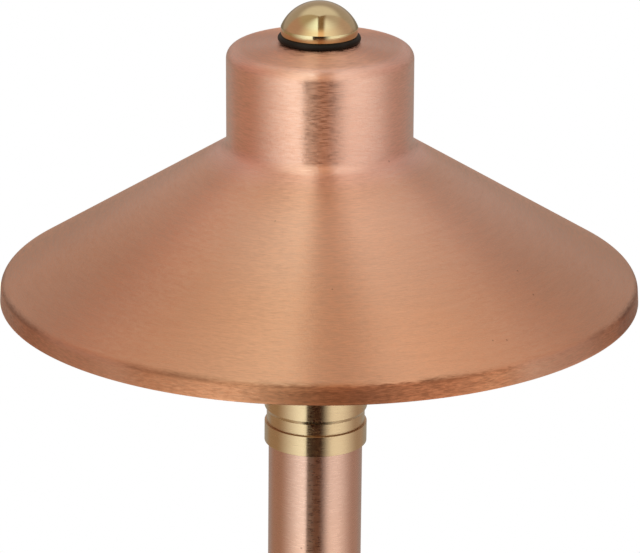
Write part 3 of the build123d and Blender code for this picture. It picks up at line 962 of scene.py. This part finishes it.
flat = core_radius * cos(pi / core_sides)
middle = (core_low.z + core_high.z) / 2
frame_layers = [(0, 0), (0, chip_thickness - 0.15 * mm), (0.1 * mm, chip_thickness)]
glow_layers = [(0, 0), (0, 0.03 * mm), (0.25 * mm, 0.1 * mm), (0.6 * mm, 0.13 * mm)]
solder_layers = [(0, 0), (0.05 * mm, 0.12 * mm), (0.25 * mm, 0.2 * mm)]
frame_skins = []
glow_skins = []
solder_skins = []
for side in range(core_sides):
    angle = 2 * pi * (side + 0.5) / core_sides
    for row in (-1, 0, 1):
        z = middle + chip_pitch * row
        frame_skins.append(pad(angle, z, flat, chip_width, chip_height, frame_layers))
        near = flat + chip_thickness - chip_sink
        glow_width, glow_height = chip_width - 2 * chip_rim, chip_height - 2 * chip_end_rim
        glow_skins.append(pad(angle, z, near, glow_width, glow_height, glow_layers))
        for end in (-1, 1):
            joint_z = z + end * (chip_height / 2 + solder_offset)
            solder_skins.append(pad(angle, joint_z, flat, solder_width, solder_height, solder_layers))
stand_for(solid("chip_frames", frame_skins, sharp=30), "led_chips", board)
for name, skins, material in (("chip_phosphor", glow_skins, phosphor), ("chip_solder", solder_skins, steel)):
    piece = solid(name, skins, sharp=50)
    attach(piece, body_of["led_chips"])
    dress(piece, material)

# Grommet, leads and splices
grommet_low, grommet_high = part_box("lead_grommet")
grommet_corners = [
    (0.0, grommet_low.z),
    (lead_bore - braze, grommet_low.z),
    (lead_bore - braze, collar_top + floor_thickness),
    (grommet_high.x, collar_top + floor_thickness),
    (grommet_high.x, grommet_high.z),
    (0.0, grommet_high.z),
]
grommet_line = eased(grommet_corners, grommet_edge)
stand_for(solid("grommet_bush", [turned(grommet_line, 64)]), "lead_grommet", black_rubber)
dress_cad("socket_leads", insulation)

splice_low, splice_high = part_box("lead_splices")
splice_radius = splice_high.x - splice_x
splice_corners = [(lead_radius + braze, splice_low.z), (splice_radius, splice_low.z)]
splice_bends = [splice_bore_edge, splice_edge]
squeezed_radius = splice_radius * crimp_squeeze
for share in (0.3, 0.7):
    centre = splice_low.z + (splice_high.z - splice_low.z) * share
    splice_corners += [
        (splice_radius, centre - crimp_half),
        (squeezed_radius, centre - crimp_flat_half),
        (squeezed_radius, centre + crimp_flat_half),
        (splice_radius, centre + crimp_half),
    ]
    splice_bends += [crimp_bend] * 4
splice_corners += [(splice_radius, splice_high.z), (lead_radius + braze, splice_high.z)]
splice_bends += [splice_edge, splice_bore_edge]
splice_line = bend_line(splice_corners, splice_bends, 4, closed=True)
splice_skins = [turned(splice_line, 48, side * splice_x, splice_y) for side in (-1, 1)]
stand_for(solid("splice_set", splice_skins), "lead_splices", blue_nylon)

# The ground stake
dress_cad("ground_stake", stake_plastic, stake_edge)

# Camera, fitted to the photograph
camera_place = Vector((0.00083, -1.009003, rim_bottom + 0.346374))
camera_pitch = 0.32613
camera_roll = 0.01
camera = bpy.data.objects.new("camera", bpy.data.cameras.new("camera"))
camera.data.lens = 214.75
camera.data.sensor_width = 36
camera.data.clip_end = 50
forward = Vector((0, cos(camera_pitch), -sin(camera_pitch)))
right = Vector((1, 0, 0))
above = right.cross(forward)
tilted_right = cos(camera_roll) * right + sin(camera_roll) * above
tilted_above = -sin(camera_roll) * right + cos(camera_roll) * above
turn = Matrix((tilted_right, tilted_above, -forward)).transposed().to_4x4()
camera.matrix_world = Matrix.Translation(camera_place) @ turn
scene.collection.objects.link(camera)
scene.camera = camera

# Floor
floor_radius = 1.4
floor_mesh = bpy.data.meshes.new("floor")
floor_points, floor_faces = skin([circle(0, 0, 96), circle(floor_radius, 0, 96)])
floor_mesh.from_pydata(floor_points, [], floor_faces)
floor = bpy.data.objects.new("floor", floor_mesh)
floor.location.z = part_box("ground_stake")[0].z
scene.collection.objects.link(floor)


def floor_finish():
    """A pale floor that fades out. Its disc faces down, so it shows from below and not from above."""
    material, tree, shader = new_material("pale_floor")
    place = object_place(tree)
    distance = add_node(tree, "VectorMath", {0: place}, operation="LENGTH").outputs["Value"]
    mottle = noise(tree, place, 3.0, 4.0)
    tree.links.new(mix(tree, mottle, (0.86, 0.86, 0.855), (0.9, 0.9, 0.895)), shader.inputs["Base Color"])
    shader.inputs["Roughness"].default_value = 0.8
    behind = add_node(tree, "NewGeometry").outputs["Backfacing"]
    near = ramp(tree, distance, 0.5, floor_radius - 0.1, 1.0, 0.0)
    seen = maths(tree, "MULTIPLY", near, maths(tree, "SUBTRACT", 1.0, behind))
    clear = add_node(tree, "BsdfTransparent")
    blend = add_node(tree, "MixShader", {0: seen, 1: clear.outputs[0], 2: shader.outputs[0]})
    tree.links.new(blend.outputs[0], tree.nodes["Material Output"].inputs["Surface"])
    return material


dress(floor, floor_finish())

# What shining surfaces see round the lamp, at four heights: low, level, high and overhead.
# The gap faces the camera. The strengths were fitted to the photograph by another program, along with
# the metals' base colours, and then rounded and changed by hand.
surroundings = {
    "left panel": ((1.85, 1.98, 1.92), (0.87, 0.88, 0.8), (1.65, 1.5, 1.17), (1.7, 1.88, 1.72)),
    "right panel": ((1.6, 1.6, 1.48), (0.54, 0.47, 0.42), (1.4, 1.22, 1.03), (1.45, 1.42, 1.31)),
    "gap": ((0.01, 0.01, 0.01), (0.1, 0.02, 0.01), (1.35, 0.86, 0.52), (0.35, 0.21, 0.11)),
    "left side": ((0.48, 0.35, 0.22), (0.4, 0.26, 0.22), (0.67, 0.41, 0.33), (0.65, 0.51, 0.36)),
    "right side": ((0.56, 0.45, 0.36), (0.4, 0.27, 0.22), (0.7, 0.5, 0.43), (0.73, 0.61, 0.53)),
    "back": ((0.46, 0.43, 0.38), (0.3, 0.25, 0.2), (0.57, 0.48, 0.44), (1.03, 0.95, 0.88)),
}
plain_light = (0.8, 0.8, 0.8)


def studio_masks(tree):
    """Soft masks that share out all directions, in the order of the surroundings."""
    direction = add_node(tree, "TexCoord").outputs["Generated"]
    x, y, z = add_node(tree, "SeparateXYZ", {0: direction}).outputs
    azimuth = maths(tree, "DEGREES", maths(tree, "ARCTAN2", x, maths(tree, "MULTIPLY", y, -1.0)))
    aside = maths(tree, "ABSOLUTE", azimuth)
    sideways = maths(tree, "DEGREES", maths(tree, "ARCSINE", x))

    def times(*factors):
        result = factors[0]
        for factor in factors[1:]:
            result = maths(tree, "MULTIPLY", result, factor)
        return result

    def rest(value):
        return maths(tree, "SUBTRACT", 1.0, value)

    high = ramp(tree, z, -0.03, 0.27)

    def edge(low_down, high_up):
        """An edge in degrees that moves with the height."""
        return maths(tree, "MULTIPLY_ADD", high, high_up - low_down, low_down)

    behind = ramp(tree, aside, edge(128.0, 114.0), edge(140.0, 126.0))
    on_left = ramp(tree, sideways, edge(-20.0, -5.0), edge(-17.5, -2.5), 1.0, 0.0)
    left_fade = ramp(tree, azimuth, edge(-100.0, -82.0), edge(-25.0, -7.0))
    rise = ramp(tree, sideways, edge(10.0, 8.0), edge(37.0, 17.0))
    right_fade = ramp(tree, azimuth, edge(55.0, 20.0), edge(112.0, 100.0), 1.0, 0.0)
    ahead_left = times(rest(behind), on_left)
    ahead_right = times(rest(behind), rest(on_left))
    around = [
        times(ahead_left, left_fade),
        times(ahead_right, rise, right_fade),
        times(ahead_right, rest(rise)),
        times(ahead_left, rest(left_fade)),
        times(ahead_right, rise, rest(right_fade)),
        behind,
    ]
    overhead = ramp(tree, z, 0.6, 0.85)
    masks = []
    for mask in around:
        off_floor = ramp(tree, z, -0.22, -0.1) if mask is behind else ramp(tree, z, -0.33, -0.15)
        upward = ramp(tree, z, 0.0, 0.14) if mask is behind else ramp(tree, z, 0.08, 0.3)
        heights = [rest(off_floor), times(off_floor, rest(upward)), times(upward, rest(overhead)), overhead]
        masks += [times(mask, height) for height in heights]
    return masks


def studio_world():
    """White to the camera, plain light on dull surfaces, and the surroundings in what shines."""
    world = bpy.data.worlds.new("studio")
    world.use_nodes = True
    scene.world = world
    tree = world.node_tree
    tree.nodes.clear()
    colours = [colour for heights in surroundings.values() for colour in heights]
    total = None
    for mask, colour in zip(studio_masks(tree), colours):
        share = scaled(tree, colour, mask)
        total = share if total is None else mix(tree, 1.0, total, share, "ADD")
    rays = add_node(tree, "LightPath")
    white = maths(tree, "MAXIMUM", rays.outputs["Is Camera Ray"], rays.outputs["Is Transmission Ray"])
    colour = mix(tree, rays.outputs["Is Glossy Ray"], plain_light, total)
    colour = mix(tree, white, colour, (1, 1, 1))
    background = add_node(tree, "Background", {0: colour})
    output = add_node(tree, "OutputWorld")
    tree.links.new(background.outputs[0], output.inputs[0])
    world.cycles.sampling_method = "NONE"


studio_world()
key = bpy.data.objects.new("key", bpy.data.lights.new("key", "AREA"))
key.data.energy = 14
key.data.size = 1.0
key.location = (-1.1, -1.2, 1.9)
key.rotation_euler = (Vector((0, 0, 0.3)) - key.location).to_track_quat("-Z", "Y").to_euler()
key.visible_glossy = False
key.visible_camera = False
scene.collection.objects.link(key)

scene.view_settings.view_transform = "Standard"
